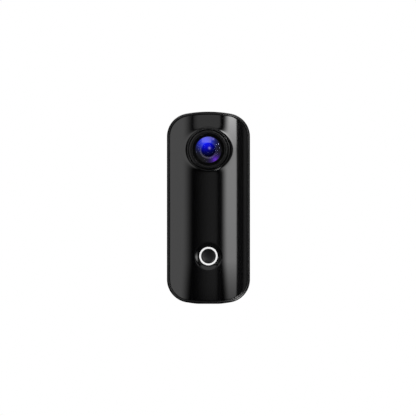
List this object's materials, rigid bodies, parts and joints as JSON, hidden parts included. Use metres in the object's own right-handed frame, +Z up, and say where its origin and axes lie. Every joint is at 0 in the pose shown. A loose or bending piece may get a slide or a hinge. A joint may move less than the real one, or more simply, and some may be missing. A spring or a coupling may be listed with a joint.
{
  "type": "action camera",
  "caption": "Thumb-size action camera with a lens in a raised collar, a lit shutter button, a side key and a hinged door over its charging and card sockets.",
  "frame": {"origin": "centre of the body's box in X and Y, at the bottom, on the surface the foot stands on", "axes": "+Z up towards the lens end, the lens looks along -Y, +X towards the port door's side"},
  "size_m": [0.027, 0.0206, 0.0624],
  "materials": {
    "gloss_cover": "gloss",
    "satin_housing": "satin",
    "seal_rubber": "matte",
    "pad_rubber": "matte",
    "screw_steel": "satin",
    "bezel_black": "gloss",
    "barrel_black": "matte",
    "front_glass": "coated",
    "inner_glass": "coated",
    "inner_plastic": "matte",
    "filter_glass": "coated",
    "sensor_dark": "gloss",
    "board_green": "solder mask",
    "flex_amber": "film",
    "button_black": "satin",
    "light_white": "translucent",
    "switch_metal": "satin",
    "chip_dark": "moulded",
    "heat_pad": "matte",
    "spreader_copper": "satin",
    "shield_metal": "satin",
    "parts_tan": "ceramic",
    "card_black": "moulded",
    "battery_wrap": "film",
    "tray_plastic": "matte",
    "foam_grey": "foam",
    "lead_red": "satin",
    "plug_cream": "matte",
    "mesh_metal": "woven",
    "mic_metal": "satin",
    "magnet_nickel": "plated",
    "yoke_steel": "satin"
  },
  "bodies": {
    "camera": {"front_cover": "gloss_cover", "rear_housing": "satin_housing", "housing_gasket": "seal_rubber", "back_pad": "pad_rubber", "housing_screws": "screw_steel", "lens_bezel": "bezel_black", "lens_seal": "seal_rubber", "lens_barrel": "barrel_black", "front_element": "front_glass", "second_element": "inner_glass", "third_element": "inner_glass", "rear_element": "inner_glass", "element_spacers": "barrel_black", "lens_holder": "inner_plastic", "lens_holder_screws": "screw_steel", "ir_filter": "filter_glass", "image_sensor": "sensor_dark", "sensor_board": "board_green", "sensor_screws": "screw_steel", "sensor_flex": "flex_amber", "light_ring": "light_white", "button_seal": "seal_rubber", "button_board": "board_green", "button_board_screws": "screw_steel", "ring_lights": "light_white", "shutter_switch": "switch_metal", "button_flex": "flex_amber", "mode_switch": "switch_metal", "door_hinge_pin": "screw_steel", "main_board": "board_green", "main_board_screws": "screw_steel", "processor": "chip_dark", "heat_pad": "heat_pad", "heat_spreader": "spreader_copper", "memory_chip": "chip_dark", "radio_shield": "shield_metal", "board_parts": "parts_tan", "usb_receptacle": "shield_metal", "usb_tongue": "chip_dark", "card_socket": "shield_metal", "battery": "battery_wrap", "battery_tray": "tray_plastic", "battery_foam": "foam_grey", "battery_leads": "lead_red", "battery_plug": "plug_cream", "speaker": "chip_dark", "speaker_mesh": "mesh_metal", "microphone": "mic_metal", "microphone_boot": "seal_rubber", "radio_antenna": "flex_amber", "holding_magnets": "magnet_nickel", "magnet_yokes": "yoke_steel"},
    "shutter_button": {"button_cap": "button_black", "shutter_switch_stem": "inner_plastic"},
    "mode_key": {"mode_key": "button_black", "mode_switch_stem": "inner_plastic"},
    "port_door": {"port_door": "satin_housing", "door_seal": "seal_rubber"},
    "card": {"memory_card": "card_black"}
  },
  "joints": [
    {"name": "shutter_press", "type": "slide", "parent": "camera", "child": "shutter_button", "axis": [0, 1, 0], "range_m": [0, 0.0003], "stiffness_N_per_m": 4000},
    {"name": "mode_press", "type": "slide", "parent": "camera", "child": "mode_key", "axis": [1, 0, 0], "range_m": [0, 0.00025], "stiffness_N_per_m": 4000},
    {"name": "door_hinge", "type": "hinge", "parent": "camera", "child": "port_door", "pos_m": [0.0129, 0.00375, 0.0258], "axis": [0, 0, 1], "range_deg": [0, 110]},
    {"name": "card_push", "type": "slide", "parent": "camera", "child": "card", "axis": [1, 0, 0], "range_m": [-0.0005, 0.0005]}
  ]
}
